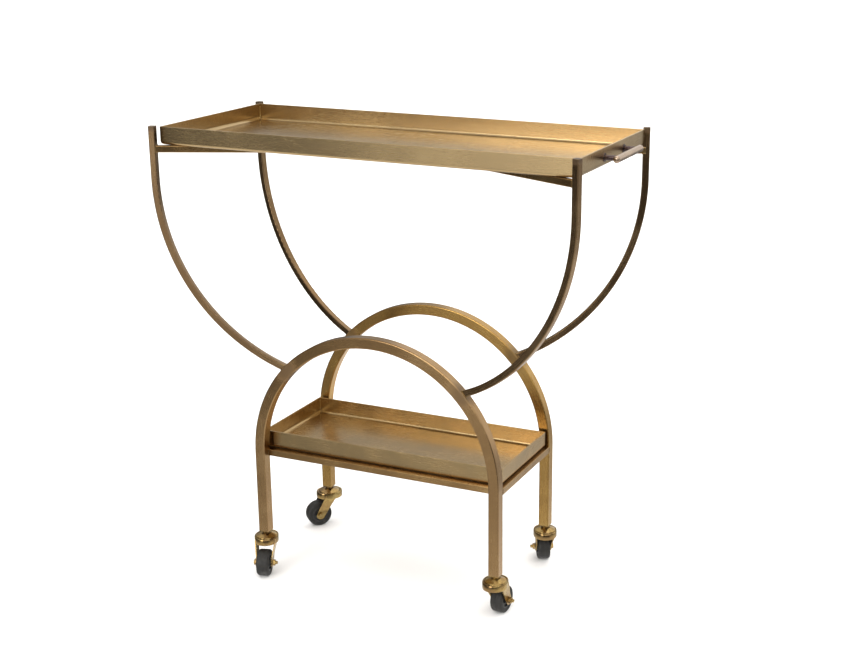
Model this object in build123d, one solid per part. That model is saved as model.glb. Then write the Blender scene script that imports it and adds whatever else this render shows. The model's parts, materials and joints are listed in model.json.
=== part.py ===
from build123d import *
import math
import os

# Bar cart on four swivel casters, in millimetres.
# Origin on the floor under the middle of the cart, +X along its length, +Y to the back, +Z up.

# Arches: two upside-down U's of square tube whose straight ends are the legs
ARCH_TUBE = 20.0
ARCH_WALL = 1.5
ARCH_CORNER = 2.0
ARCH_RADIUS = 236.0          # centreline
ARCH_CENTRE_Z = 243.0
ARCH_Y = 118.0
LEG_BOTTOM_Z = 82.0

# Arms: four lengths of thinner square tube that rise from the arches to the tray's corners
ARM_TUBE = 12.0
ARM_WALL = 1.2
ARM_CORNER = 1.5
ARM_TOP = (396.0, 172.0, 841.0)
ARM_BEND_RADIUS = 367.0      # centreline
ARM_BEND_Z = 749.0           # below this height an arm curves inwards
ARM_SPLAY = 13.64            # degrees between an arm's vertical plane and the cart's length
ARM_END_CAP = 2.0

# Trays: folded sheet pans with a hemmed rim
SHEET = 1.2
TRAY_HEIGHT = 32.0
END_BEND = 9.0               # outside radius where the floor turns up into an end wall
SIDE_BEND = 5.2              # the same at the long walls
WALL_CORNER = 1.5
HEM_HEIGHT = 5.0
HEM_THICKNESS = 2.4
HEM_ROUND = 0.5
UPPER_TRAY = (785.0, 322.0)
UPPER_TRAY_X = 3.5               # the loose tray lies a little to the right
UPPER_TRAY_Z = 807.0
LOWER_TRAY = (482.0, 202.0)
LOWER_TRAY_Z = 243.0

# Shelf frame: four lengths of angle under the lower tray
ANGLE_FLANGE = 20.0
ANGLE_HEIGHT = 12.0
ANGLE_THICKNESS = 2.0
FRONT_ANGLE_FACE_Y = 113.5

# Handles on the ends of the upper tray, measured from the tray's middle
HANDLE_ROD = 12.0
HANDLE_X = 417.5
HANDLE_Z = 823.0
HANDLE_LENGTH = 128.0
POST_SPACING = 96.0
POST_DIAMETER = 9.0
ROD_END_FACE = 1.0           # radius left flat on the rod's rounded ends
WALL_COLLAR_DIAMETER = 15.0
WALL_COLLAR_THICKNESS = 1.5

# Casters: heights above the floor; a caster's own +X points the way its wheel trails
WHEEL_RADIUS = 25.0
WHEEL_WIDTH = 23.0
TRAIL = 24.0
TYRE_DEPTH = 9.0
TYRE_SHOULDER = 3.5
HUB_INSET = 0.8
HUB_BOSS_RADIUS = 6.5
HUB_GROOVE = (8.0, 13.5, 3.0)    # inner radius, outer radius, depth
SLEEVE_RADIUS = 4.5
RUNNING_CLEARANCE = 0.05         # between a shaft and its bore
END_CLEARANCE = 0.3              # between faces that turn past each other
AXLE_RADIUS = 3.0
AXLE_FLATS = 10.0
AXLE_HEAD = 4.0
AXLE_NUT = 5.0
AXLE_END = 4.5                   # thread showing past the nut
THREAD_CHAMFER = 0.8
HEX_FACE = 0.6                   # flat radius added to a hexagon's face by its bevel
FORK_SHEET = 2.0
FORK_BOSS = 8.5                  # radius of a plate's foot around the axle
FORK_BEND = 6.0
FORK_OVERHANG = 3.0              # how far a plate may pass outside the crown's outline
FORK_NARROW = 15.5           # half-width outside the wheel
FORK_WIDE = 21.5             # half-width under the crown
FLARE_Z = (36.0, 56.0)
CROWN_BOTTOM_Z = 60.0
CROWN_TOP_Z = 68.0
CROWN_LEAD = (-4.0, 21.5)    # centre and radius of the rounded leading end
CROWN_TRAIL = (24.0, 15.5, 6.0)  # centre and radius of the trailing corners
CROWN_EDGE = 4.5
PLATE_ROOT = (-19.5, 28.2)       # the plates' length along the crown
STEM_RADIUS = 5.0
STEM_TOP_Z = 112.0
STEM_HEAD = (8.0, 3.5, 1.5)      # radius, height, edge rounding
STEM_CHAMFER = 1.0
CAP_RADIUS = 20.0
CAP_TOP_RADIUS = 10.0
CAP_TOP_Z = 76.0
CAP_SHOULDER_Z = 71.0
CAP_LIP_Z = 68.7
CAP_SHEET = 1.5
CAP_BEND = 1.2
COLLAR_RADIUS = 7.5
COLLAR_TOP_Z = 80.0
COLLAR_ROUND = 0.8
BALL_RADIUS = 1.7
BALL_COUNT = 16
BALL_PITCH_RADIUS = 14.0
PLUG_HEIGHT = 34.0
PLUG_FLANGE = 19.2
PLUG_ROUND = 0.9

# Where each caster stands, the way its wheel trails in degrees from +X, and the side of its nut
CASTERS = {
    "front_left": (-1, -1, -71.0, 1),
    "front_right": (1, -1, 86.0, -1),
    "back_left": (-1, 1, 228.0, -1),
    "back_right": (1, 1, 120.0, 1),
}


def save(shape, node):
    export_step(shape, f"parts/{node}.step")


def upright(sketch, depth):
    """Extrude a sketch drawn as (x, z) evenly about the plane y = 0."""
    return extrude(Plane.XZ * sketch, depth / 2, both=True)


def arch_bar(width):
    """Square bar bent to half a ring about the origin, with a straight leg at each end."""
    leg = ARCH_CENTRE_Z - LEG_BOTTOM_Z
    outer = ARCH_RADIUS + width / 2
    ring = Circle(outer) - Circle(ARCH_RADIUS - width / 2)
    outline = ring & (Pos(0, outer / 2) * Rectangle(2 * outer, outer))
    for side in (-1, 1):
        outline += Pos(side * ARCH_RADIUS, -leg / 2) * Rectangle(width, leg)
    return upright(outline, width)


def long_edges(bar):
    """Edges that run along a bent bar, in its two flat side faces, without the end edges."""
    by_depth = bar.faces().sort_by(Axis.Y)
    picked = ShapeList()
    for face in (by_depth[0], by_depth[-1]):
        for edge in face.edges():
            if edge.geom_type == GeomType.CIRCLE or edge.length > ARCH_TUBE:
                picked.append(edge)
    return picked


def arch():
    outside = arch_bar(ARCH_TUBE)
    outside = fillet(long_edges(outside), ARCH_CORNER)
    inside = arch_bar(ARCH_TUBE - 2 * ARCH_WALL)
    return Pos(0, 0, ARCH_CENTRE_Z) * (outside - inside)


def arm_bar(width, top_z):
    """The right back arm as a bar of this width, running on past the arch."""
    straight = top_z - ARM_BEND_Z
    sector = Circle(ARM_BEND_RADIUS + width / 2) - Circle(ARM_BEND_RADIUS - width / 2)
    reach = 2 * ARM_BEND_RADIUS
    quarter = Polygon((0, 0), (reach, 0), (reach, -reach), (reach / 4, -reach), align=None)
    column = Pos(ARM_BEND_RADIUS, straight / 2) * Rectangle(width, straight)
    return upright((sector & quarter) + column, width)


def place_arm(bar):
    """Turn an arm drawn about its bend centre into its splayed plane."""
    splay = math.radians(ARM_SPLAY)
    centre_x = ARM_TOP[0] - ARM_BEND_RADIUS * math.cos(splay)
    centre_y = ARM_TOP[1] - ARM_BEND_RADIUS * math.sin(splay)
    return Pos(centre_x, centre_y, ARM_BEND_Z) * Rot(0, 0, ARM_SPLAY) * bar


def arm_envelope():
    """An arm without its bore, before it is cut to the arch."""
    bar = arm_bar(ARM_TUBE, ARM_TOP[2])
    return place_arm(fillet(long_edges(bar), ARM_CORNER))


def arm():
    """The right back arm, its lower end cut to sit on the arch."""
    bore = place_arm(arm_bar(ARM_TUBE - 2 * ARM_WALL, ARM_TOP[2] - ARM_END_CAP))
    outer_radius = ARCH_RADIUS + ARCH_TUBE / 2
    disc = Pos(0, ARCH_Y, ARCH_CENTRE_Z) * Rot(90, 0, 0) * Cylinder(outer_radius, 3 * ARCH_TUBE)
    return (arm_envelope() - bore - disc).solids().sort_by(Axis.Z)[-1]


def at_corner(shape, x_side, y_side):
    """Mirror a piece of the right back corner to another corner."""
    if x_side < 0:
        shape = mirror(shape, Plane.YZ)
    if y_side < 0:
        shape = mirror(shape, Plane.XZ)
    return shape


def braces():
    """One diagonal tube runs from arm to arm; the other is two halves that butt against it."""
    length = 2 * math.hypot(ARM_TOP[0], ARM_TOP[1])
    angle = math.degrees(math.atan2(ARM_TOP[1], ARM_TOP[0]))
    diagonal = Pos(0, 0, UPPER_TRAY_Z - ARM_TUBE / 2) * Rot(0, 0, angle)
    bar = Box(length, ARM_TUBE, ARM_TUBE)
    bore = ARM_TUBE - 2 * ARM_WALL
    tube = fillet(bar.edges().filter_by(Axis.X), ARM_CORNER) - Box(length, bore, bore)
    end = arm_envelope()
    through = diagonal * tube - end - at_corner(end, -1, -1)
    through = through.solids().sort_by(SortBy.VOLUME)[-1]
    crossing = mirror(through, Plane.YZ) - diagonal * bar
    halves = crossing.solids().sort_by(Axis.X)
    return through, halves[0], halves[-1]


def angle_rail(length):
    """Angle along X: its flange lies on top and reaches towards +Y, its face looks to -Y."""
    flange = Pos(0, ANGLE_FLANGE / 2, -ANGLE_THICKNESS / 2) * Box(length, ANGLE_FLANGE, ANGLE_THICKNESS)
    web = Pos(0, ANGLE_THICKNESS / 2, -ANGLE_HEIGHT / 2) * Box(length, ANGLE_THICKNESS, ANGLE_HEIGHT)
    rail = flange + web
    outer_edge = rail.edges().filter_by(Axis.X).group_by(Axis.Y)[0].sort_by(Axis.Z)[-1]
    return fillet(outer_edge, ANGLE_THICKNESS / 2)


def tray(size, bottom_z):
    length, width = size

    def view(extent, bend):
        """The pan seen from one side, with its two lower corners bent."""
        outline = Rectangle(extent, TRAY_HEIGHT)
        low = outline.vertices().group_by(Axis.Y)[0]
        return Pos(0, TRAY_HEIGHT / 2) * fillet(low, bend)

    def block(wall):
        """Block with the pan's bends, shrunk by the wall on its sides and floor."""
        inner_length = length - 2 * wall
        inner_width = width - 2 * wall
        front = upright(view(inner_length, END_BEND - wall), width)
        side = extrude(Plane.YZ * view(inner_width, SIDE_BEND - wall), length / 2, both=True)
        top = extrude(RectangleRounded(inner_length, inner_width, WALL_CORNER), TRAY_HEIGHT)
        return Pos(0, 0, wall) * (front & side & top)

    outside = block(0)
    hollow = block(SHEET)
    hem_space = Pos(0, 0, TRAY_HEIGHT - HEM_HEIGHT / 2) * (
        Box(length - 2 * SHEET, width - 2 * SHEET, HEM_HEIGHT)
        - Box(length - 2 * HEM_THICKNESS, width - 2 * HEM_THICKNESS, HEM_HEIGHT)
    )
    shell = outside - (hollow - hem_space)
    rim = shell.edges().group_by(Axis.Z)[-1]
    shell = fillet(rim, HEM_ROUND)
    return Pos(0, 0, bottom_z) * shell


def handle_bar():
    rod = Rot(90, 0, 0) * Cylinder(HANDLE_ROD / 2, HANDLE_LENGTH)
    rod = fillet(rod.edges().filter_by(GeomType.CIRCLE), HANDLE_ROD / 2 - ROD_END_FACE)
    return Pos(HANDLE_X, 0, HANDLE_Z) * rod


def handle_posts():
    wall = UPPER_TRAY[0] / 2
    start = wall + WALL_COLLAR_THICKNESS
    posts = []
    for side in (-1, 1):
        post = Rot(0, 90, 0) * Cylinder(POST_DIAMETER / 2, HANDLE_X - start)
        post = Pos((start + HANDLE_X) / 2, side * POST_SPACING / 2, HANDLE_Z) * post
        posts.append((post - handle_bar()).solids().sort_by(SortBy.VOLUME)[-1])
    return Compound(children=posts)


def handle_collars():
    wall = UPPER_TRAY[0] / 2
    collars = []
    for side in (-1, 1):
        collar = Rot(0, 90, 0) * Cylinder(WALL_COLLAR_DIAMETER / 2, WALL_COLLAR_THICKNESS)
        outer = collar.edges().filter_by(GeomType.CIRCLE).sort_by(Axis.X)[-1]
        collar = fillet(outer, WALL_COLLAR_THICKNESS / 2)
        collars.append(Pos(wall + WALL_COLLAR_THICKNESS / 2, side * POST_SPACING / 2, HANDLE_Z) * collar)
    return Compound(children=collars)


def across(radius, width):
    """Cylinder on the axle's line, centred on the wheel."""
    return Pos(TRAIL, 0, WHEEL_RADIUS) * Rot(90, 0, 0) * Cylinder(radius, width)


def tyre():
    core = WHEEL_RADIUS - TYRE_DEPTH
    solid = across(WHEEL_RADIUS, WHEEL_WIDTH)
    solid = fillet(solid.edges().filter_by(GeomType.CIRCLE), TYRE_SHOULDER)
    return solid - across(core, WHEEL_WIDTH)


def hub():
    core = WHEEL_RADIUS - TYRE_DEPTH
    inner, outer, depth = HUB_GROOVE
    width = WHEEL_WIDTH - 2 * HUB_INSET
    body = across(core, width)
    groove = across(outer, width) - across(inner, width) - across(outer, width - 2 * depth)
    body = body - groove
    body += across(HUB_BOSS_RADIUS, 2 * (FORK_NARROW - FORK_SHEET - END_CLEARANCE))
    return body - across(SLEEVE_RADIUS + RUNNING_CLEARANCE, 3 * WHEEL_WIDTH)


def axle_sleeve():
    inside = 2 * (FORK_NARROW - FORK_SHEET)
    return across(SLEEVE_RADIUS, inside) - across(AXLE_RADIUS + RUNNING_CLEARANCE, inside)


def hexagon(thickness):
    prism = extrude(RegularPolygon(AXLE_FLATS / 2, 6, major_radius=False), thickness)
    bevel = Cone(AXLE_FLATS, AXLE_FLATS / 2, AXLE_FLATS / 2, align=(Align.CENTER, Align.CENTER, Align.MAX))
    return prism & (Pos(0, 0, thickness + HEX_FACE) * bevel)


def axle_bolt(turn):
    """Bolt with its head on one side of the fork and its threaded end on the other."""
    end = FORK_NARROW + AXLE_NUT + AXLE_END
    shank = Pos(0, 0, -FORK_NARROW) * Cylinder(
        AXLE_RADIUS, FORK_NARROW + end, align=(Align.CENTER, Align.CENTER, Align.MIN)
    )
    shank = chamfer(shank.edges().sort_by(Axis.Z)[-1], THREAD_CHAMFER)
    head = Pos(0, 0, -FORK_NARROW) * Rot(180, 0, 0) * hexagon(AXLE_HEAD)
    bolt = Rot(-90 * turn, 0, 0) * (shank + head)
    return Pos(TRAIL, 0, WHEEL_RADIUS) * bolt


def axle_nut(turn):
    bore = Cylinder(AXLE_RADIUS, 4 * AXLE_NUT)
    nut = Pos(0, 0, FORK_NARROW) * (hexagon(AXLE_NUT) - bore)
    return Pos(TRAIL, 0, WHEEL_RADIUS) * Rot(-90 * turn, 0, 0) * nut


def crown_outline():
    lead_x, lead_radius = CROWN_LEAD
    trail_x, trail_y, trail_radius = CROWN_TRAIL
    circles = Pos(lead_x, 0) * Circle(lead_radius)
    corners = [Pos(trail_x, side * trail_y) * Circle(trail_radius) for side in (-1, 1)]
    return make_hull(circles.edges() + corners[0].edges() + corners[1].edges())


def fork():
    outline = crown_outline()
    height = CROWN_TOP_Z - CROWN_BOTTOM_Z
    cup = Pos(0, 0, CROWN_BOTTOM_Z) * extrude(outline, height)
    cup = fillet(cup.edges().group_by(Axis.Z)[-1], CROWN_EDGE)
    inner = Pos(0, 0, CROWN_BOTTOM_Z) * extrude(offset(outline, -FORK_SHEET), height - FORK_SHEET)
    inner = fillet(inner.edges().group_by(Axis.Z)[-1], CROWN_EDGE - FORK_SHEET)
    cup = cup - inner

    low, high = FLARE_Z
    plate = Polygon(
        (FORK_NARROW, 0), (FORK_NARROW, low), (FORK_WIDE, high), (FORK_WIDE, CROWN_BOTTOM_Z),
        (FORK_WIDE - FORK_SHEET, CROWN_BOTTOM_Z), (FORK_WIDE - FORK_SHEET, high),
        (FORK_NARROW - FORK_SHEET, low), (FORK_NARROW - FORK_SHEET, 0),
        align=None,
    )
    bends = plate.vertices().filter_by(lambda v: v.Y in FLARE_Z)
    plate = fillet(bends, FORK_BEND)
    reach = 4 * WHEEL_RADIUS
    plates = extrude(Plane.YZ * plate, reach / 2, both=True)
    plates = plates + mirror(plates, Plane.XZ)

    boss = Pos(TRAIL, WHEEL_RADIUS) * Circle(FORK_BOSS)
    root_start, root_end = PLATE_ROOT
    root = Pos((root_start + root_end) / 2, CROWN_BOTTOM_Z - FORK_SHEET / 4) * (
        Rectangle(root_end - root_start, FORK_SHEET / 2)
    )
    side_view = make_hull(boss.edges() + root.edges())
    plates = plates & upright(side_view, 4 * FORK_WIDE)
    plates = plates & extrude(offset(outline, FORK_OVERHANG), CROWN_BOTTOM_Z)
    body = cup + plates
    body = body - across(AXLE_RADIUS + RUNNING_CLEARANCE, 4 * FORK_WIDE)
    stem_hole = Pos(0, 0, CROWN_TOP_Z) * Cylinder(STEM_RADIUS + RUNNING_CLEARANCE, 2 * height)
    return (body - stem_hole).solids().sort_by(SortBy.VOLUME)[-1]


def stem():
    """Pin that the fork turns on, with its peened head inside the crown."""
    head_radius, head_height, head_round = STEM_HEAD
    head_top = CROWN_TOP_Z - FORK_SHEET - END_CLEARANCE
    lift = (Align.CENTER, Align.CENTER, Align.MIN)
    pin = Pos(0, 0, head_top) * Cylinder(STEM_RADIUS, STEM_TOP_Z - head_top, align=lift)
    pin = chamfer(pin.edges().sort_by(Axis.Z)[-1], STEM_CHAMFER)
    head = Pos(0, 0, head_top - head_height) * Cylinder(head_radius, head_height, align=lift)
    head = fillet(head.edges().sort_by(Axis.Z)[0], head_round)
    collar = Pos(0, 0, CAP_TOP_Z) * Cylinder(COLLAR_RADIUS, COLLAR_TOP_Z - CAP_TOP_Z, align=lift)
    collar = fillet(collar.edges().filter_by(GeomType.CIRCLE), COLLAR_ROUND)
    return pin + head + collar


def swivel_cap():
    """Pressed dome over the ball race, open below."""
    inner_radius = CAP_RADIUS - CAP_SHEET
    under_z = CAP_TOP_Z - CAP_SHEET
    section = Polygon(
        (0, CAP_TOP_Z), (CAP_TOP_RADIUS, CAP_TOP_Z), (CAP_RADIUS, CAP_SHOULDER_Z), (CAP_RADIUS, CAP_LIP_Z),
        (inner_radius, CAP_LIP_Z), (inner_radius, CAP_SHOULDER_Z - CAP_SHEET / 2),
        (CAP_TOP_RADIUS, under_z), (0, under_z),
        align=None,
    )
    bends = section.vertices().filter_by(lambda v: v.X >= CAP_TOP_RADIUS and v.Y > CAP_LIP_Z)
    section = fillet(bends, CAP_BEND)
    dome = revolve(Plane.XZ * section, Axis.Z)
    return dome - Cylinder(STEM_RADIUS, 3 * CAP_TOP_Z)


def balls():
    centre_z = CROWN_TOP_Z + END_CLEARANCE + BALL_RADIUS
    return [
        Rot(0, 0, 360 * i / BALL_COUNT) * Pos(BALL_PITCH_RADIUS, 0, centre_z) * Sphere(BALL_RADIUS)
        for i in range(BALL_COUNT)
    ]


def leg_plug():
    """Plug pressed into a leg's open end; the stem sits in its bore."""
    bore = ARCH_TUBE - 2 * ARCH_WALL
    flange_height = LEG_BOTTOM_Z - COLLAR_TOP_Z
    flange = Pos(0, 0, COLLAR_TOP_Z + flange_height / 2) * Box(PLUG_FLANGE, PLUG_FLANGE, flange_height)
    flange = fillet(flange.edges().filter_by(Axis.Z) + flange.edges().group_by(Axis.Z)[0], PLUG_ROUND)
    body = Pos(0, 0, LEG_BOTTOM_Z + PLUG_HEIGHT / 2) * Box(bore, bore, PLUG_HEIGHT)
    hole = Cylinder(STEM_RADIUS, 2 * STEM_TOP_Z)
    return flange + body - hole


def main():
    os.makedirs("parts", exist_ok=True)

    one_arch = arch()
    save(Pos(0, -ARCH_Y, 0) * one_arch, "arch_front")
    save(Pos(0, ARCH_Y, 0) * one_arch, "arch_back")

    one_arm = arm()
    for corner, (x_side, y_side, _, _) in CASTERS.items():
        save(at_corner(one_arm, x_side, y_side), f"arm_{corner}")

    through, left_half, right_half = braces()
    save(through, "brace_through")
    save(left_half, "brace_left_half")
    save(right_half, "brace_right_half")

    leg_inner_x = ARCH_RADIUS - ARCH_TUBE / 2
    leg_outer_x = ARCH_RADIUS + ARCH_TUBE / 2
    leg_inner_y = ARCH_Y - ARCH_TUBE / 2
    front = Pos(0, -FRONT_ANGLE_FACE_Y, LOWER_TRAY_Z) * angle_rail(2 * leg_inner_x)
    side = Pos(leg_outer_x, 0, LOWER_TRAY_Z) * Rot(0, 0, 90) * angle_rail(2 * leg_inner_y)
    save(front, "shelf_angle_front")
    save(mirror(front, Plane.XZ), "shelf_angle_back")
    save(side, "shelf_angle_right")
    save(mirror(side, Plane.YZ), "shelf_angle_left")

    upper_middle = Pos(UPPER_TRAY_X, 0, 0)
    save(upper_middle * tray(UPPER_TRAY, UPPER_TRAY_Z), "upper_tray")
    save(tray(LOWER_TRAY, LOWER_TRAY_Z), "lower_tray")

    for side, turn in (("right", 0), ("left", 180)):
        end = upper_middle * Rot(0, 0, turn)
        save(end * handle_bar(), f"handle_bar_{side}")
        save(end * handle_posts(), f"handle_posts_{side}")
        save(end * handle_collars(), f"handle_collars_{side}")

    one_fork, one_stem, one_cap, one_plug = fork(), stem(), swivel_cap(), leg_plug()
    all_balls, all_plugs = [], []
    for corner, (x_side, y_side, heading, turn) in CASTERS.items():
        foot = Pos(x_side * ARCH_RADIUS, y_side * ARCH_Y, 0)
        caster = foot * Rot(0, 0, heading)
        save(foot * one_stem, f"caster_stem_{corner}")
        save(foot * one_cap, f"swivel_cap_{corner}")
        all_balls += [foot * ball for ball in balls()]
        all_plugs.append(foot * one_plug)
        save(caster * one_fork, f"caster_fork_{corner}")
        save(caster * axle_sleeve(), f"axle_sleeve_{corner}")
        save(caster * axle_bolt(turn), f"axle_bolt_{corner}")
        save(caster * axle_nut(turn), f"axle_nut_{corner}")
        save(caster * hub(), f"wheel_hub_{corner}")
        save(caster * tyre(), f"wheel_tyre_{corner}")
    save(Compound(children=all_balls), "swivel_balls")
    save(Compound(children=all_plugs), "leg_plugs")


main()
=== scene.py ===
"""Bar cart in antique brass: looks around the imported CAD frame, in metres."""
import json
import math

import bmesh
import bpy
from mathutils import Matrix, Vector, noise


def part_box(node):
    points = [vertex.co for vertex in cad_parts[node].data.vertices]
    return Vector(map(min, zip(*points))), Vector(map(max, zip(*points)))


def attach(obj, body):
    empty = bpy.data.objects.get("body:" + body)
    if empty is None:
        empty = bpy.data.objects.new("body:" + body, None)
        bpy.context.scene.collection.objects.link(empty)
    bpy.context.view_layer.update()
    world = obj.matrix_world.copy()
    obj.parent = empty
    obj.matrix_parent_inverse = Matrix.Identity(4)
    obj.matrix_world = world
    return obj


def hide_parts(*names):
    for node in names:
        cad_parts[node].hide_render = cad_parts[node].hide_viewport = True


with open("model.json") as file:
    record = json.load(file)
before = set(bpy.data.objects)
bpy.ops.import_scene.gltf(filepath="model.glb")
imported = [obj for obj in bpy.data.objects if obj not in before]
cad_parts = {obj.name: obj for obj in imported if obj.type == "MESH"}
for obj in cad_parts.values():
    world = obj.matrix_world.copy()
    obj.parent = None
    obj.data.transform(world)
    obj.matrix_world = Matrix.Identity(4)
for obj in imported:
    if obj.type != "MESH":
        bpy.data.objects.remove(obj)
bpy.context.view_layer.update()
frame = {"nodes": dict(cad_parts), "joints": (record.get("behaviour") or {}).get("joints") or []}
nodes = frame["nodes"]
scene = bpy.context.scene

CORNERS = {"front_left": (-1, -1), "front_right": (1, -1), "back_left": (-1, 1), "back_right": (1, 1)}

# Dimensions shared with the CAD
ARCH_RADIUS = 0.236             # centreline of the half ring, and the legs' distance from the middle
ARCH_HALF = 0.010               # half the arch tube
ARCH_OUTER = ARCH_RADIUS + ARCH_HALF
ARCH_Z = 0.243                  # where the straight legs meet the half ring
ARM_TOP_XY = (0.396, 0.172)
ARM_RADIUS = 0.367
ARM_Z = 0.749                   # below this height an arm bends
ARM_SPLAY = math.radians(13.64)
ARM_HALF = 0.006
BRACE_Z = 0.801
SHEET = 0.0012
FORK_NARROW = 0.0155            # half-width of a fork outside its wheel

GRAIN = 60.0                    # how much finer brushed grain is across than along


# ---------------------------------------------------------------- node helpers

class Graph:
    """Builds a material's nodes with short calls. Inputs may be sockets or numbers."""

    def __init__(self, name):
        self.material = bpy.data.materials.new(name)
        self.material.use_nodes = True
        self.tree = self.material.node_tree
        self.tree.nodes.clear()
        self.where = self.add("ShaderNodeTexCoord").outputs["Object"]
        self.x, self.y, self.z = self.split(self.where)

    def add(self, kind, **settings):
        node = self.tree.nodes.new(kind)
        for key, value in settings.items():
            setattr(node, key, value)
        return node

    def put(self, socket, value):
        if isinstance(value, bpy.types.NodeSocket):
            self.tree.links.new(value, socket)
        else:
            socket.default_value = value

    def split(self, vector):
        node = self.add("ShaderNodeSeparateXYZ")
        self.put(node.inputs[0], vector)
        return node.outputs

    def join(self, x, y, z):
        node = self.add("ShaderNodeCombineXYZ")
        for socket, value in zip(node.inputs, (x, y, z)):
            self.put(socket, value)
        return node.outputs[0]

    def math(self, operation, a, b=0.0, clamp=False):
        node = self.add("ShaderNodeMath", operation=operation, use_clamp=clamp)
        for socket, value in zip(node.inputs, (a, b)):
            self.put(socket, value)
        return node.outputs[0]

    def mix(self, share, a, b):
        node = self.add("ShaderNodeMix", data_type="RGBA")
        self.put(node.inputs[0], share)
        for socket, value in zip((node.inputs[6], node.inputs[7]), (a, b)):
            self.put(socket, value if isinstance(value, bpy.types.NodeSocket) else (*value[:3], 1.0))
        return node.outputs[2]

    def remap(self, value, low, high, to_low=0.0, to_high=1.0):
        node = self.add("ShaderNodeMapRange", interpolation_type="SMOOTHSTEP")
        for socket, number in zip(node.inputs, (value, low, high, to_low, to_high)):
            self.put(socket, number)
        return node.outputs[0]

    def noise(self, vector, scale, detail=4.0, rough=0.55, distortion=0.0):
        node = self.add("ShaderNodeTexNoise")
        self.put(node.inputs["Vector"], vector)
        node.inputs["Scale"].default_value = scale
        node.inputs["Detail"].default_value = detail
        node.inputs["Roughness"].default_value = rough
        node.inputs["Distortion"].default_value = distortion
        return node.outputs[0]

    def mapped(self, scale=(1.0, 1.0, 1.0), offset=(0.0, 0.0, 0.0)):
        """The object's coordinates, stretched and moved."""
        node = self.add("ShaderNodeMapping")
        self.put(node.inputs["Vector"], self.where)
        node.inputs["Scale"].default_value = scale
        node.inputs["Location"].default_value = offset
        return node.outputs[0]

    def length(self, a, b):
        """The length of a flat vector."""
        return self.math("SQRT", self.math("ADD", self.math("POWER", a, 2.0), self.math("POWER", b, 2.0)))

    def crevice(self, distance):
        """1 in the open, falling towards 0 in corners and joints of this size."""
        node = self.add("ShaderNodeAmbientOcclusion", samples=6)
        node.inputs["Distance"].default_value = distance
        return node.outputs["AO"]

    def edge(self, radius):
        """Near 1 along sharp edges, 0 on flat faces."""
        bevel = self.add("ShaderNodeBevel", samples=4)
        bevel.inputs["Radius"].default_value = radius
        plain = self.add("ShaderNodeNewGeometry").outputs["Normal"]
        dot = self.add("ShaderNodeVectorMath", operation="DOT_PRODUCT")
        self.put(dot.inputs[0], bevel.outputs[0])
        self.put(dot.inputs[1], plain)
        return self.remap(dot.outputs["Value"], 0.99, 0.86)

    def bump(self, height, strength, distance, normal=None):
        node = self.add("ShaderNodeBump")
        node.inputs["Strength"].default_value = strength
        node.inputs["Distance"].default_value = distance
        self.put(node.inputs["Height"], height)
        if normal is not None:
            self.put(node.inputs["Normal"], normal)
        return node.outputs[0]

    def surface(self, color, roughness, metallic, normal):
        shader = self.add("ShaderNodeBsdfPrincipled")
        self.put(shader.inputs["Base Color"], color)
        self.put(shader.inputs["Roughness"], roughness)
        self.put(shader.inputs["Metallic"], metallic)
        self.put(shader.inputs["Normal"], normal)
        out = self.add("ShaderNodeOutputMaterial")
        self.tree.links.new(shader.outputs[0], out.inputs[0])
        return self.material


def along_x(g):
    return g.mapped(scale=(1.0, GRAIN, GRAIN))


def along_z(g):
    return g.mapped(scale=(GRAIN, GRAIN, 1.0))


def along_arch(g):
    """Grain that follows the legs and the half ring."""
    above = g.math("MAXIMUM", g.math("SUBTRACT", g.z, ARCH_Z), 0.0)
    below = g.math("MINIMUM", g.math("SUBTRACT", g.z, ARCH_Z), 0.0)
    angle = g.math("ARCTAN2", above, g.x)
    radius = g.length(g.x, above)
    length = g.math("ADD", g.math("MULTIPLY", angle, ARCH_RADIUS), below)
    return g.join(g.math("MULTIPLY", radius, GRAIN), g.math("MULTIPLY", g.y, GRAIN), length)


def along_arm(g):
    """Grain that follows an arm's straight top and its long bend."""
    cosine, sine = math.cos(ARM_SPLAY), math.sin(ARM_SPLAY)
    px = g.math("SUBTRACT", g.math("ABSOLUTE", g.x), ARM_TOP_XY[0] - ARM_RADIUS * cosine)
    py = g.math("SUBTRACT", g.math("ABSOLUTE", g.y), ARM_TOP_XY[1] - ARM_RADIUS * sine)
    reach = g.math("ADD", g.math("MULTIPLY", px, cosine), g.math("MULTIPLY", py, sine))
    side = g.math("SUBTRACT", g.math("MULTIPLY", py, cosine), g.math("MULTIPLY", px, sine))
    drop = g.math("MINIMUM", g.math("SUBTRACT", g.z, ARM_Z), 0.0)
    rise = g.math("MAXIMUM", g.math("SUBTRACT", g.z, ARM_Z), 0.0)
    angle = g.math("ARCTAN2", drop, reach)
    radius = g.length(reach, drop)
    length = g.math("ADD", g.math("MULTIPLY", angle, ARM_RADIUS), rise)
    return g.join(g.math("MULTIPLY", radius, GRAIN), g.math("MULTIPLY", side, GRAIN), length)


# The colour that corners take under painted shade, and that darker joints and the arms' tops take
SHADE_AND_DIRT_COLOR = (0.040, 0.024, 0.013)
STREAK = 0.20                   # how strongly brush lines darken the brass
CORNER_SHADE_AND_GRIME = 0.6                     # how dark corners get: painted shade, with the patina at joints
CORNER_SIZE = 0.006             # metres: how far from a corner the painted shade and the patina reach
EDGE_WIDTH = 0.0010             # metres of bare metal along an edge


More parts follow.
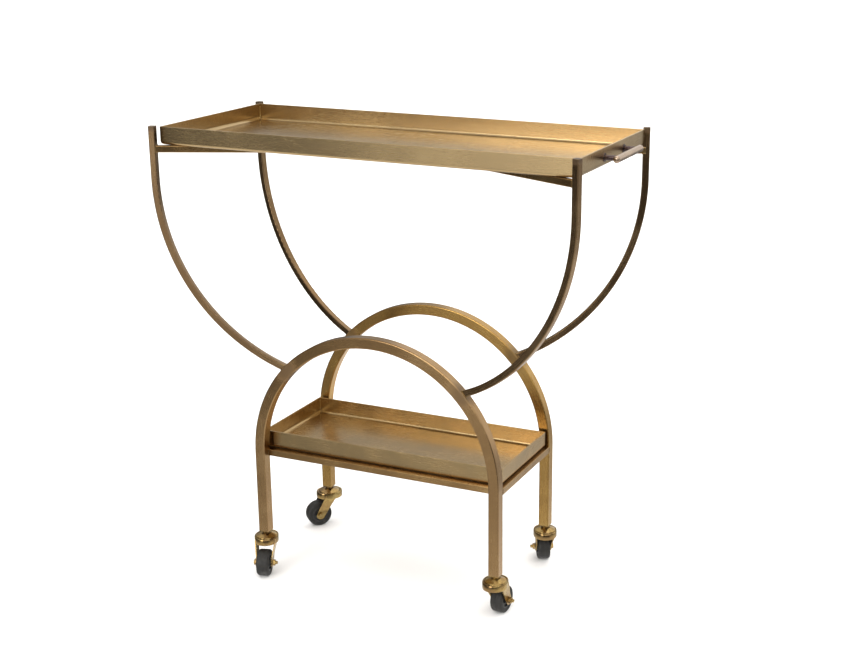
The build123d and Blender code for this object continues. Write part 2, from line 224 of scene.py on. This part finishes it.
def brass(name, grain, base, tarnish, bright, seed, rough=(0.21, 0.30), patch=7.0, cloud=0.45,
          worn=(0.72, 0.56, 0.33), dents=0.04, extra_darkening=None):
    """Brushed brass under a thin hand-rubbed patina: soft clouds, grain, bare edges, and joints and
    corners darkened by patina and by painted shade.

    patch is the number of clouds to the metre, cloud their strength, rough the range of roughness,
    worn the colour of bare edges, dents the strength of unevenness, and the last argument a function that
    darkens more places.
    """
    g = Graph(name)
    place = g.mapped(offset=(seed, 0.7 * seed, -0.4 * seed))
    broad = g.noise(place, patch, 3.0, 0.5, 0.3)
    spots = g.noise(place, patch * 5.0, 5.0, 0.58, 0.4)
    fine = g.noise(place, patch * 40.0, 3.0, 0.6)
    lines = g.noise(grain(g), 16.0, 5.0, 0.62)
    hair = g.noise(grain(g), 60.0, 2.0, 0.5)
    tone = g.math("ADD", g.math("MULTIPLY", broad, 0.65), g.math("MULTIPLY", spots, 0.35))
    color = g.mix(g.math("MULTIPLY", g.remap(tone, 0.60, 0.36), cloud), base, tarnish)
    color = g.mix(g.math("MULTIPLY", g.remap(tone, 0.50, 0.72), 0.55), color, bright)
    dark_line = [0.70 * c for c in tarnish]
    color = g.mix(g.math("MULTIPLY", g.remap(lines, 0.44, 0.76), STREAK), color, dark_line)
    color = g.mix(g.math("MULTIPLY", g.remap(lines, 0.44, 0.26), 0.5 * STREAK), color, bright)
    freckle = g.math("MULTIPLY", g.remap(fine, 0.64, 0.76), g.remap(spots, 0.46, 0.64))
    color = g.mix(g.math("MULTIPLY", freckle, 0.20), color, [0.45 * c for c in tarnish])
    # Painted shade: the occlusion mask darkens the colour in corners, in joints and where parts meet, as
    # shade would, along with the patina at joints
    crevice = g.crevice(CORNER_SIZE)
    shade_and_dirt = g.math("MULTIPLY", g.remap(crevice, 0.50, 0.12), CORNER_SHADE_AND_GRIME)
    if extra_darkening is not None:
        shade_and_dirt = g.math("MAXIMUM", shade_and_dirt, extra_darkening(g))
    color = g.mix(shade_and_dirt, color, SHADE_AND_DIRT_COLOR)
    edge = g.math("MULTIPLY", g.edge(EDGE_WIDTH), g.remap(g.math("ADD", spots, lines), 0.80, 1.15))
    edge = g.math("MULTIPLY", edge, g.remap(crevice, 0.35, 0.8))
    color = g.mix(g.math("MULTIPLY", edge, 0.65), color, worn)
    rub = g.math("ADD", g.math("MULTIPLY", broad, 0.6), g.math("MULTIPLY", hair, 0.4))
    roughness = g.remap(rub, 0.38, 0.64, rough[0], rough[1])
    roughness = g.math("ADD", roughness, g.math("MULTIPLY", shade_and_dirt, 0.22))
    roughness = g.math("SUBTRACT", roughness, g.math("MULTIPLY", edge, 0.06), clamp=True)
    film = g.math("MULTIPLY", g.math("MAXIMUM", shade_and_dirt, freckle), 0.5)
    metallic = g.math("SUBTRACT", 1.0, film, clamp=True)
    normal = g.bump(hair, 0.10, 0.0002)
    normal = g.bump(g.noise(place, 22.0, 2.0, 0.5), dents, 0.0010, normal)
    return g.surface(color, roughness, metallic, normal)


ARM_DARK_FROM, ARM_DARK_TO = 0.828, 0.8405      # heights
ARM_FOOT = (0.175, 0.410)                       # x and z of an arm's weld on its arch


def arm_tops(g):
    """The closed upper ends of the arms are left dark."""
    return g.remap(g.z, ARM_DARK_FROM, ARM_DARK_TO, 0.0, 0.75)


def joint_heat(g):
    """The arches are darker where the arms are welded to them."""
    reach = g.math("SUBTRACT", g.math("ABSOLUTE", g.x), ARM_FOOT[0])
    drop = g.math("SUBTRACT", g.z, ARM_FOOT[1])
    return g.remap(g.length(reach, drop), 0.035, 0.008, 0.0, 0.6)


def rubber():
    g = Graph("tyre_rubber")
    scuffs = g.noise(g.where, 160.0, 5.0, 0.65, 0.5)
    dust = g.noise(g.where, 45.0, 4.0, 0.6)
    low = g.remap(g.z, 0.030, 0.0, 0.0, 0.7)
    color = g.mix(g.remap(scuffs, 0.45, 0.75), (0.007, 0.0065, 0.0055), (0.024, 0.021, 0.016))
    color = g.mix(g.math("MULTIPLY", g.remap(dust, 0.5, 0.75), low), color, (0.085, 0.075, 0.060))
    roughness = g.remap(scuffs, 0.3, 0.7, 0.50, 0.76)
    normal = g.bump(scuffs, 0.35, 0.0003)
    return g.surface(color, roughness, 0.0, normal)


def plastic():
    g = Graph("hub_plastic")
    grain = g.noise(g.where, 900.0, 2.0, 0.5)
    film = g.noise(g.where, 60.0, 4.0, 0.6)
    color = g.mix(g.remap(film, 0.4, 0.7), (0.014, 0.014, 0.014), (0.04, 0.038, 0.035))
    return g.surface(color, g.remap(film, 0.3, 0.7, 0.35, 0.55), 0.0, g.bump(grain, 0.2, 0.0001))


def steel():
    g = Graph("bearing_steel")
    film = g.noise(g.where, 300.0, 4.0, 0.6)
    color = g.mix(g.remap(film, 0.4, 0.7), (0.50, 0.49, 0.47), (0.22, 0.19, 0.15))
    return g.surface(color, g.remap(film, 0.3, 0.7, 0.15, 0.40), 1.0, g.bump(film, 0.1, 0.0001))


def floor_material():
    g = Graph("studio_floor")
    soft = g.noise(g.where, 1.2, 2.0, 0.5)
    grain = g.noise(g.where, 220.0, 2.0, 0.5)
    color = g.mix(soft, (0.83, 0.825, 0.815), (0.86, 0.855, 0.85))
    return g.surface(color, g.remap(grain, 0.3, 0.7, 0.55, 0.7), 0.0, g.bump(grain, 0.05, 0.0002))


# Brass colours: the base tone, the tarnish in its clouds and the bright metal where it is rubbed
MATERIALS = {
    "arch_front": brass("arch_front_brass", along_arch, (0.36, 0.228, 0.105), (0.27, 0.158, 0.070),
                        (0.45, 0.31, 0.160), 1.0, extra_darkening=joint_heat),
    "arch_back": brass("arch_back_brass", along_arch, (0.42, 0.255, 0.080), (0.29, 0.165, 0.055),
                       (0.55, 0.37, 0.135), 2.0, extra_darkening=joint_heat),
    "arm": brass("arm_brass", along_arm, (0.215, 0.138, 0.070), (0.150, 0.090, 0.045),
                 (0.32, 0.22, 0.115), 3.0, extra_darkening=arm_tops),
    "bar": brass("bar_brass", along_x, (0.36, 0.225, 0.095), (0.25, 0.145, 0.060),
                 (0.48, 0.33, 0.15), 5.0),
    "upper": brass("upper_tray_brass", along_x, (0.45, 0.325, 0.165), (0.36, 0.27, 0.150),
                   (0.54, 0.40, 0.21), 7.0, patch=4.0, cloud=0.4, dents=0.02),
    "lower": brass("lower_tray_brass", along_x, (0.44, 0.305, 0.145), (0.33, 0.25, 0.135),
                   (0.55, 0.40, 0.20), 11.0, patch=6.0, cloud=0.55, dents=0.03),
    "handle": brass("handle_brass", along_z, (0.40, 0.30, 0.21), (0.28, 0.20, 0.15),
                    (0.52, 0.40, 0.27), 13.0, patch=20.0),
    # Painted shade: the handle's posts and collars sit in shade, and this near-black copy of the brass
    # paints that shade in
    "dark": brass("dark_bronze", along_x, (0.075, 0.052, 0.050), (0.040, 0.028, 0.028),
                  (0.15, 0.11, 0.09), 17.0, patch=40.0, worn=(0.35, 0.27, 0.17)),
    "caster": brass("caster_brass", along_x, (0.37, 0.255, 0.090), (0.21, 0.125, 0.06),
                    (0.55, 0.42, 0.19), 19.0, rough=(0.16, 0.30), patch=30.0, cloud=0.8,
                    worn=(0.80, 0.62, 0.30)),
    "weld": brass("weld_brass", along_x, (0.26, 0.165, 0.065), (0.13, 0.075, 0.032),
                  (0.42, 0.29, 0.12), 23.0, patch=50.0, dents=0.3),
    "solder": brass("solder_brass", along_z, (0.55, 0.38, 0.15), (0.30, 0.19, 0.07),
                    (0.70, 0.52, 0.24), 29.0, patch=50.0, dents=0.3),
    "rubber": rubber(),
    "plastic": plastic(),
    "steel": steel(),
}

# The material of the CAD nodes whose names start so; the rest are caster parts and leg plugs
NODE_MATERIALS = {
    "arch_front": "arch_front",
    "arch_back": "arch_back",
    "arm": "arm",
    "brace": "bar",
    "shelf_angle": "bar",
    "upper_tray": "upper",
    "lower_tray": "lower",
    "handle_bar": "handle",
    "handle_posts": "dark",
    "handle_collars": "dark",
    "wheel_tyre": "rubber",
    "wheel_hub": "plastic",
    "axle_sleeve": "steel",
    "swivel_balls": "steel",
}

for node, piece in nodes.items():
    chosen = [material for start, material in NODE_MATERIALS.items() if node.startswith(start)]
    piece.data.materials.clear()
    piece.data.materials.append(MATERIALS[chosen[0] if chosen else "caster"])


# ---------------------------------------------------------------- pieces in mesh code

SHARP_ANGLE = math.radians(35.0)
CORNER_ROUND = 0.0015           # rounding of the thin square tubes' corners
LATHE_STEPS = 96
BEAD_WAVE, BEAD_NOISE = 1.9, 400.0              # radians a step, and spots to the metre
BEAD_END = 0.45                 # an open bead's ends are drawn in to this share


def finish_piece(name, bm, material, body):
    mesh = bpy.data.meshes.new(name)
    bmesh.ops.recalc_face_normals(bm, faces=bm.faces)
    bm.to_mesh(mesh)
    bm.free()
    mesh.polygons.foreach_set("use_smooth", [True] * len(mesh.polygons))
    mesh.set_sharp_from_angle(angle=SHARP_ANGLE)
    mesh.materials.append(MATERIALS[material])
    piece = bpy.data.objects.new(name, mesh)
    scene.collection.objects.link(piece)
    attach(piece, body)
    return piece


def add_bead(bm, path, radius, closed, ripple=0.12, sides=10):
    """A rounded bead along a path, its thickness wandering a little like a weld's."""
    count = len(path)
    rings = []
    for i, point in enumerate(path):
        if closed:
            ahead = path[(i + 1) % count] - path[i - 1]
        else:
            ahead = path[min(i + 1, count - 1)] - path[max(i - 1, 0)]
        ahead.normalize()
        side = ahead.orthogonal().normalized()
        if rings:
            side = (rings[-1][1] - ahead * rings[-1][1].dot(ahead)).normalized()
        other = ahead.cross(side)
        swell = 1.0 + ripple * math.sin(i * BEAD_WAVE) + ripple * noise.noise(point * BEAD_NOISE)
        if not closed and i in (0, count - 1):
            swell *= BEAD_END
        ring = []
        for k in range(sides):
            turn = 2 * math.pi * k / sides
            out = math.cos(turn) * side + math.sin(turn) * other
            ring.append(bm.verts.new(point + radius * swell * out))
        rings.append((ring, side))
    last = count if closed else count - 1
    for i in range(last):
        a, b = rings[i][0], rings[(i + 1) % count][0]
        offset = 0
        if closed and i == count - 1:       # the rings may have turned on the way round
            offset = min(range(sides), key=lambda k: (a[0].co - b[k].co).length)
        for k in range(sides):
            m = k + 1
            bm.faces.new((a[k], a[m % sides], b[(m + offset) % sides], b[(k + offset) % sides]))
    if not closed:
        bm.faces.new(reversed(rings[0][0]))
        bm.faces.new(rings[-1][0])


def square_loop(steps):
    """Points round the outline of a thin square tube, evenly by angle."""
    corner_reach = (ARM_HALF - CORNER_ROUND) * math.sqrt(2) + CORNER_ROUND
    loop = []
    for i in range(steps):
        turn = 2 * math.pi * i / steps
        across, along = math.cos(turn), math.sin(turn)
        reach = min(ARM_HALF / max(abs(across), abs(along)), corner_reach)
        loop.append((reach * across, reach * along))
    return loop


ARM_DIR = Vector((math.cos(ARM_SPLAY), math.sin(ARM_SPLAY), 0.0))
ARM_SIDE = Vector((-math.sin(ARM_SPLAY), math.cos(ARM_SPLAY), 0.0))
ARM_CENTRE = Vector((*ARM_TOP_XY, ARM_Z)) - ARM_RADIUS * ARM_DIR


def mirrored(path, sx, sy):
    return [Vector((sx * p.x, sy * p.y, p.z)) for p in path]


ARM_FOOT_STEPS, BRACE_STEPS, WELD_STEPS = 44, 36, 12


def arm_foot():
    """The outline of an arm's end on the arch, found along the arm's bend by halving."""
    path = []
    for outward, sideways in square_loop(ARM_FOOT_STEPS):
        low, high = 0.6, 1.5                # radians of the bend, above and inside the arch
        for _ in range(40):
            bend = (low + high) / 2
            ray = math.cos(bend) * ARM_DIR - Vector((0, 0, math.sin(bend)))
            p = ARM_CENTRE + (ARM_RADIUS + outward) * ray + sideways * ARM_SIDE
            if math.hypot(p.x, p.z - ARCH_Z) > ARCH_OUTER:
                low = bend
            else:
                high = bend
        path.append(p)
    return path


def brace_end():
    """The outline of the brace's end on an arm's inner face."""
    along = Vector((*ARM_TOP_XY, 0.0)).normalized()
    across = Vector((-along.y, along.x, 0.0))
    path = []
    for t, h in square_loop(BRACE_STEPS):
        foot = Vector((*ARM_TOP_XY, BRACE_Z + h)) + t * across
        gap = (-ARM_HALF - t * across.dot(ARM_DIR)) / along.dot(ARM_DIR)
        path.append(foot + gap * along)
    return path


def brace_crossing(side):
    """The outline of a half brace's end on the brace that runs through."""
    along = Vector((ARM_TOP_XY[0], -ARM_TOP_XY[1], 0.0)).normalized() * side
    across = Vector((-along.y, along.x, 0.0))
    through = Vector((*ARM_TOP_XY, 0.0)).normalized()
    normal = Vector((-through.y, through.x, 0.0))
    if normal.dot(along) < 0:
        normal = -normal
    path = []
    for t, h in square_loop(BRACE_STEPS):
        foot = Vector((0.0, 0.0, BRACE_Z + h)) + t * across
        gap = (ARM_HALF - foot.dot(normal)) / along.dot(normal)
        path.append(foot + gap * along)
    return path


def straight(start, end, steps):
    start, end = Vector(start), Vector(end)
    return [start.lerp(end, i / (steps - 1)) for i in range(steps)]


def weld(name, paths):
    """One piece of weld beads on the frame, from (path, radius, closed)."""
    bm = bmesh.new()
    for path, radius, closed in paths:
        add_bead(bm, path, radius, closed)
    finish_piece(name, bm, "weld", "frame")


# Radii of the beads
ARM_WELD, BRACE_WELD, CROSSING_WELD, WEB_WELD, FLANGE_WELD = 0.0013, 0.0010, 0.0009, 0.0009, 0.0007
# Where the shelf angles' ends meet a leg
WEB_LOW, WEB_HIGH = 0.2312, 0.2425              # the webs' beads run upwards
FRONT_WEB_Y, SIDE_WEB_Y = 0.1137, 0.108
FLANGE_Z, FLANGE_Y = 0.2422, (0.0955, 0.1125)   # the flange's bead runs across
OVERLAP = 0.0002                                # a side bead sits this far inside the corner


def make_welds():
    foot, end = arm_foot(), brace_end()
    for corner, (sx, sy) in CORNERS.items():
        weld(f"weld_arm_{corner}", [(mirrored(foot, sx, sy), ARM_WELD, True)])
        weld(f"weld_brace_{corner}", [(mirrored(end, sx, sy), BRACE_WELD, True)])
    for name, side in (("left", -1), ("right", 1)):
        weld(f"weld_brace_crossing_{name}", [(brace_crossing(side), CROSSING_WELD, True)])
    inner_x = ARCH_RADIUS - ARCH_HALF
    outer_x = ARCH_RADIUS + ARCH_HALF - OVERLAP
    beads = (
        ((inner_x, FRONT_WEB_Y, WEB_LOW), (inner_x, FRONT_WEB_Y, WEB_HIGH), WEB_WELD),
        ((outer_x, SIDE_WEB_Y, WEB_LOW), (outer_x, SIDE_WEB_Y, WEB_HIGH), WEB_WELD),
        ((inner_x, FLANGE_Y[0], FLANGE_Z), (inner_x, FLANGE_Y[1], FLANGE_Z), FLANGE_WELD),
    )
    for corner, (sx, sy) in CORNERS.items():
        weld(f"weld_shelf_{corner}", [
            (mirrored(straight(start, stop, WELD_STEPS), sx, sy), radius, False)
            for start, stop, radius in beads
        ])


SOLDER_INSET = 0.0005           # from the walls' inner faces
SOLDER_FOOT, SOLDER_HEAD = 0.0075, 0.0052       # clear of the bottom bend and of the hem
SOLDER_BEAD, SOLDER_RIPPLE, SOLDER_STEPS = 0.0009, 0.18, 22
DROPS = 3


def make_solder():
    """Soldered inner corners of both trays, with a few drops that ran down."""
    for tray in ("upper_tray", "lower_tray"):
        low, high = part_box(tray)
        for corner, (sx, sy) in CORNERS.items():
            x = (high.x if sx > 0 else low.x) - sx * (SHEET + SOLDER_INSET)
            y = (high.y if sy > 0 else low.y) - sy * (SHEET + SOLDER_INSET)
            bm = bmesh.new()
            seam = straight((x, y, low.z + SOLDER_FOOT), (x, y, high.z - SOLDER_HEAD), SOLDER_STEPS)
            add_bead(bm, seam, SOLDER_BEAD, False, ripple=SOLDER_RIPPLE)
            for i in range(DROPS):
                away_x = 0.001 + 0.0022 * i
                away_y = 0.0030 + 0.0016 * ((i * 2) % DROPS)
                height = SHEET + 0.0042 - 0.0012 * i
                made = bmesh.ops.create_icosphere(bm, subdivisions=2, radius=0.0007 - 0.00012 * i)
                place = Vector((x - sx * away_x, y - sy * away_y, low.z + height))
                bmesh.ops.translate(bm, verts=made["verts"], vec=place)
            finish_piece(f"solder_{tray}_{corner}", bm, "solder", tray)


def lathe(bm, centre, axis, profile):
    """Turns a closed outline of (radius, distance along the axis) round the axis."""
    axis = Vector(axis).normalized()
    side = axis.orthogonal().normalized()
    other = axis.cross(side)
    rings = []
    for i in range(LATHE_STEPS):
        turn = 2 * math.pi * i / LATHE_STEPS
        out = math.cos(turn) * side + math.sin(turn) * other
        rings.append([bm.verts.new(centre + r * out + t * axis) for r, t in profile])
    for i in range(LATHE_STEPS):
        a, b = rings[i], rings[(i + 1) % LATHE_STEPS]
        for k in range(len(profile)):
            m = (k + 1) % len(profile)
            bm.faces.new((a[k], a[m], b[m], b[k]))


# Half of a moulded tyre's outline as (radius, distance from its middle), in metres
TREAD = ((0.02500, 0.0), (0.02500, 0.00012), (0.02488, 0.0003), (0.02490, 0.0035), (0.02480, 0.0068),
         (0.02466, 0.0078))
SHOULDER_MIDDLE, SHOULDER_SIZE, SHOULDER_STEPS = (0.02116, 0.0078), (0.0035, 0.0037), 8
WALL = ((0.0211, 0.0115), (0.0204, 0.0115), (0.0202, 0.01128), (0.0191, 0.01125), (0.0189, 0.01148),
        (0.0178, 0.01148), (0.0170, 0.0112), (0.0161, 0.0110), (0.0161, 0.0))


def tyre_outline():
    """A slightly crowned tread with its parting line, round shoulders and ringed walls."""
    half = list(TREAD)
    for i in range(1, SHOULDER_STEPS):
        turn = i / SHOULDER_STEPS * math.pi / 2
        half.append((SHOULDER_MIDDLE[0] + SHOULDER_SIZE[0] * math.cos(turn),
                     SHOULDER_MIDDLE[1] + SHOULDER_SIZE[1] * math.sin(turn)))
    half += WALL
    return half + [(r, -t) for r, t in reversed(half[1:-1])]


# A pressed fork's crown, hollow below, as (radius, height) in metres
CROWN = ((0.0076, 0.0660), (0.0076, 0.0678), (0.0208, 0.0678), (0.0216, 0.0692), (0.0229, 0.0702),
         (0.0243, 0.0705), (0.0254, 0.0702), (0.0260, 0.0693), (0.0262, 0.0682), (0.0262, 0.0598),
         (0.0259, 0.0586), (0.0251, 0.0581), (0.0243, 0.0585), (0.0240, 0.0594), (0.0236, 0.0645),
         (0.0226, 0.0660))
CROWN_ROUND, CROWN_NARROWING = 0.0208, 0.75     # outside this radius it is an oval along the trail

# Its cheeks: heights of the mesh's rows in millimetres, and sizes in metres
CHEEK_LEVELS = (66.5, 62, 58, 52, 46, 41, 37, 35, 32, 28, 25, 23, 21, 19, 17.6, 16.7, 16.1)
CHEEK_TOP = 0.0665
CHEEK_END, CHEEK_SHEET = 0.009, 0.0020          # radius round the axle, and thickness
CHEEK_REAR_TOP, CHEEK_FRONT_TOP = 0.0130, -0.0120
CHEEK_FRONT_LOW = 0.019                         # height where the front edge leaves the round end
CHEEK_LOW_DROP = 0.006                          # how far that is below the axle
CHEEK_FLARE_FROM, CHEEK_FLARE_HEIGHT, CHEEK_FLARE = 0.036, 0.026, 0.0043


def cheek_section(z, trail, axle_z):
    """Front and rear edge and outer face of a fork's cheek at a height."""
    drop = z - axle_z
    round_half = math.sqrt(max(CHEEK_END ** 2 - drop ** 2, 0.0))
    rear = trail + round_half
    if drop > 0:
        rear_low = trail + CHEEK_END
        rear = rear_low + (CHEEK_REAR_TOP - rear_low) * drop / (CHEEK_TOP - axle_z)
    front = trail - round_half
    if z > CHEEK_FRONT_LOW:
        low_front = trail - math.sqrt(CHEEK_END ** 2 - CHEEK_LOW_DROP ** 2)
        rise = (z - CHEEK_FRONT_LOW) / (CHEEK_TOP - CHEEK_FRONT_LOW)
        front = low_front + (CHEEK_FRONT_TOP - low_front) * rise
    flare = min(1.0, max(0.0, (z - CHEEK_FLARE_FROM) / CHEEK_FLARE_HEIGHT))
    return front, rear, FORK_NARROW + CHEEK_FLARE * flare


def add_fork(bm, foot, centre, axis):
    """A crown about the stem and two cheeks that hold the axle."""
    lathe(bm, foot, (0, 0, 1), CROWN)
    ahead = Vector((centre.x - foot.x, centre.y - foot.y, 0.0))
    trail = ahead.length
    ahead.normalize()
    for vert in bm.verts:
        out = Vector((vert.co.x - foot.x, vert.co.y - foot.y, 0.0))
        reach = out.length
        if reach > CROWN_ROUND:
            sideways = (out.dot(axis) / reach) ** 2
            wanted = CROWN_ROUND + (reach - CROWN_ROUND) * (1.0 - CROWN_NARROWING * sideways)
            vert.co += out * (wanted / reach - 1.0)
    for side in (-1, 1):
        rings = []
        for level in CHEEK_LEVELS:
            z = level / 1000
            front, rear, outer = cheek_section(z, trail, centre.z)
            inner = outer - CHEEK_SHEET
            corners = ((front, outer), (rear, outer), (rear, inner), (front, inner))
            rings.append([bm.verts.new(foot + a * ahead + side * b * axis + Vector((0, 0, z)))
                          for a, b in corners])
        for upper, lower in zip(rings, rings[1:]):
            for k in range(4):
                m = (k + 1) % 4
                bm.faces.new((upper[k], upper[m], lower[m], lower[k]))
        bm.faces.new(rings[0])
        bm.faces.new(rings[-1])


CAP_RIM_RADIUS, CAP_RIM_Z, CAP_RIM_BEAD, CAP_RIM_STEPS = 0.0199, 0.0693, 0.0007, 72
THREAD_START, THREAD_LENGTH = 0.0206, 0.0036    # along the axle from the wheel's middle
THREAD_RADIUS, THREAD_BEAD = 0.0029, 0.00034
THREAD_STEPS, STEPS_PER_RADIAN = 96, 4


def make_casters():
    joints = {joint["name"]: joint for joint in frame["joints"]}
    for corner in CORNERS:
        wheel = joints[f"wheel_{corner}"]
        swivel = joints[f"swivel_{corner}"]
        centre, axis = Vector(wheel["pos_m"]), Vector(wheel["axis"]).normalized()
        bm = bmesh.new()
        lathe(bm, centre, axis, tyre_outline())
        tyre = finish_piece(f"tyre_{corner}", bm, "rubber", f"wheel_{corner}")
        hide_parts(f"wheel_tyre_{corner}")

        foot = Vector((swivel["pos_m"][0], swivel["pos_m"][1], 0.0))
        bm = bmesh.new()
        add_fork(bm, foot, centre, axis)
        fork = finish_piece(f"fork_{corner}", bm, "caster", f"swivel_{corner}")
        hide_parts(f"caster_fork_{corner}")

        bm = bmesh.new()
        turns = (2 * math.pi * i / CAP_RIM_STEPS for i in range(CAP_RIM_STEPS))
        circle = [foot + Vector((CAP_RIM_RADIUS * math.cos(a), CAP_RIM_RADIUS * math.sin(a), CAP_RIM_Z))
                  for a in turns]
        add_bead(bm, circle, CAP_RIM_BEAD, True, ripple=0.0)
        finish_piece(f"cap_rim_{corner}", bm, "caster", "frame")

        low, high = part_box(f"axle_nut_{corner}")
        nut = (low + high) / 2
        away = axis if (nut - centre).dot(axis) > 0 else -axis
        side = away.orthogonal().normalized()
        other = away.cross(side)
        start = centre + away * THREAD_START
        helix = []
        for i in range(THREAD_STEPS + 1):
            turn = i / STEPS_PER_RADIAN
            out = math.cos(turn) * side + math.sin(turn) * other
            helix.append(start + away * THREAD_LENGTH * i / THREAD_STEPS + THREAD_RADIUS * out)
        bm = bmesh.new()
        add_bead(bm, helix, THREAD_BEAD, False, ripple=0.0, sides=6)
        finish_piece(f"bolt_thread_{corner}", bm, "caster", f"swivel_{corner}")


make_welds()
make_solder()
make_casters()


# ---------------------------------------------------------------- camera

CAMERA = Vector((1.1685, -2.2482, 1.2288))
YAW, PITCH, ROLL = 0.4112, 0.2946, 0.0024       # radians
FOCAL_PX, FRAME_W = 1451.3, 866                 # focal length and frame width in picture points
AXIS_RIGHT, AXIS_DOWN = 64.8, 9.8               # from the frame's middle to the camera's axis
SENSOR_MM = 36.0
forward = Vector((-math.sin(YAW) * math.cos(PITCH), math.cos(YAW) * math.cos(PITCH), -math.sin(PITCH)))
right = forward.cross(Vector((0, 0, 1))).normalized()
up = right.cross(forward)
turned = Matrix.Rotation(ROLL, 3, -forward)
right, up = turned @ right, turned @ up
camera = bpy.data.objects.new("camera", bpy.data.cameras.new("camera"))
scene.collection.objects.link(camera)
camera.matrix_world = Matrix.Translation(CAMERA) @ Matrix((right, up, -forward)).transposed().to_4x4()
camera.data.sensor_width = SENSOR_MM
camera.data.lens = SENSOR_MM * FOCAL_PX / FRAME_W
camera.data.shift_x = -AXIS_RIGHT / FRAME_W
camera.data.shift_y = AXIS_DOWN / FRAME_W
camera.data.clip_end = 200.0
scene.camera = camera


# ---------------------------------------------------------------- studio

def area_light(name, place, target, size, watts):
    light = bpy.data.lights.new(name, "AREA")
    light.shape = "RECTANGLE"
    light.size, light.size_y = size
    light.energy = watts
    rig = bpy.data.objects.new(name, light)
    scene.collection.objects.link(rig)
    rig.location = place
    rig.rotation_mode = "QUATERNION"
    rig.rotation_quaternion = (Vector(target) - Vector(place)).to_track_quat("-Z", "Y")


# What the metal reflects, by direction in degrees: strengths, and (elevations between which they rise)
BASE_GLOW = 0.10
FLOOR_GLOW, FLOOR_RISE = 1.15, (-19.0, -31.0)
TOP_GLOW, TOP_RISE = 1.1, (30.0, 55.0)
WORLD_COLOR = (1.0, 0.985, 0.965, 1.0)
# azimuth from and to, its softness, elevation from and to, its softness, and strength
WALLS = (
    ((-113.5, -88.0), 3.0, (2.0, 34.0), 5.0, 7.0),          # softbox in front
    ((-117.0, -92.0), 2.0, (-20.0, 2.0), 4.0, 1.1),         # the paper sweep before it
    ((-150.0, -118.0), 10.0, (8.0, 40.0), 6.0, 0.45),       # dim wall at the front left
    ((-78.0, -15.0), 8.0, (8.0, 50.0), 6.0, 1.6),           # window at the front right
    ((20.0, 110.0), 7.0, (-4.0, 50.0), 6.0, 1.15),          # bright wall at the back right
    ((110.0, 170.0), 12.0, (8.0, 50.0), 8.0, 0.55),         # dimmer wall at the back left
    ((-20.0, 75.0), 12.0, (-30.0, -4.0), 6.0, 0.55),        # floor to the right
)


def studio_world():
    """Bright walls in front and at the back right, a bright floor near the cart, dark elsewhere."""
    world = bpy.data.worlds.new("studio")
    scene.world = world
    world.use_nodes = True
    tree = world.node_tree
    split = tree.nodes.new("ShaderNodeSeparateXYZ")
    tree.links.new(tree.nodes.new("ShaderNodeTexCoord").outputs["Generated"], split.inputs[0])
    x, y, z = split.outputs

    def math_node(operation, a, b):
        node = tree.nodes.new("ShaderNodeMath")
        node.operation = operation
        for socket, value in zip(node.inputs, (a, b)):
            if isinstance(value, (int, float)):
                socket.default_value = value
            else:
                tree.links.new(value, socket)
        return node.outputs[0]

    def ramp(value, low, high, to_low=0.0, to_high=1.0):
        node = tree.nodes.new("ShaderNodeMapRange")
        node.interpolation_type = "SMOOTHSTEP"
        tree.links.new(value, node.inputs[0])
        for socket, number in zip(node.inputs[1:5], (low, high, to_low, to_high)):
            socket.default_value = number
        return node.outputs[0]

    def band(value, low, high, soft):
        rising = ramp(value, low - soft, low + soft)
        return math_node("MULTIPLY", rising, ramp(value, high + soft, high - soft))

    degrees = math_node("MULTIPLY", math_node("ARCTAN2", y, x), 180 / math.pi)
    up = math_node("MULTIPLY", math_node("ARCSINE", z, 0.0), 180 / math.pi)
    total = BASE_GLOW
    for azimuth, azimuth_soft, rise, rise_soft, strength in WALLS:
        around = band(degrees, *azimuth, azimuth_soft)
        wall = math_node("MULTIPLY", around, band(up, *rise, rise_soft))
        total = math_node("ADD", total, math_node("MULTIPLY", wall, strength))
    total = math_node("ADD", total, ramp(up, *FLOOR_RISE, 0.0, FLOOR_GLOW))
    total = math_node("ADD", total, ramp(up, *TOP_RISE, 0.0, TOP_GLOW))
    background = tree.nodes["Background"]
    background.inputs["Color"].default_value = WORLD_COLOR
    tree.links.new(total, background.inputs["Strength"])


FLOOR_HALF = 60.0               # metres from the middle to the edge
SUN_STRENGTH = 2.6
SUN_SPREAD = math.radians(110)  # so wide that shadows stay soft
SUN_TILT = (math.radians(14), math.radians(10), 0.0)
TOP_BOX = ((0.4, 0.2, 2.6), (0.0, 0.0, 0.3), (2.2, 1.6), 16.0)      # place, target, size, watts


def studio():
    mesh = bpy.data.meshes.new("floor")
    bm = bmesh.new()
    bmesh.ops.create_grid(bm, x_segments=8, y_segments=8, size=FLOOR_HALF)
    bm.to_mesh(mesh)
    bm.free()
    ground = bpy.data.objects.new("floor", mesh)
    scene.collection.objects.link(ground)
    mesh.materials.append(floor_material())
    ground.visible_glossy = False           # the metal shows the studio's walls, not a white floor
    sky = bpy.data.lights.new("overhead", "SUN")
    sky.energy = SUN_STRENGTH
    sky.angle = SUN_SPREAD
    overhead = bpy.data.objects.new("overhead", sky)
    overhead.visible_glossy = False
    scene.collection.objects.link(overhead)
    overhead.rotation_euler = SUN_TILT
    area_light("top_box", *TOP_BOX)
    studio_world()
    scene.view_settings.view_transform = "Standard"


studio()
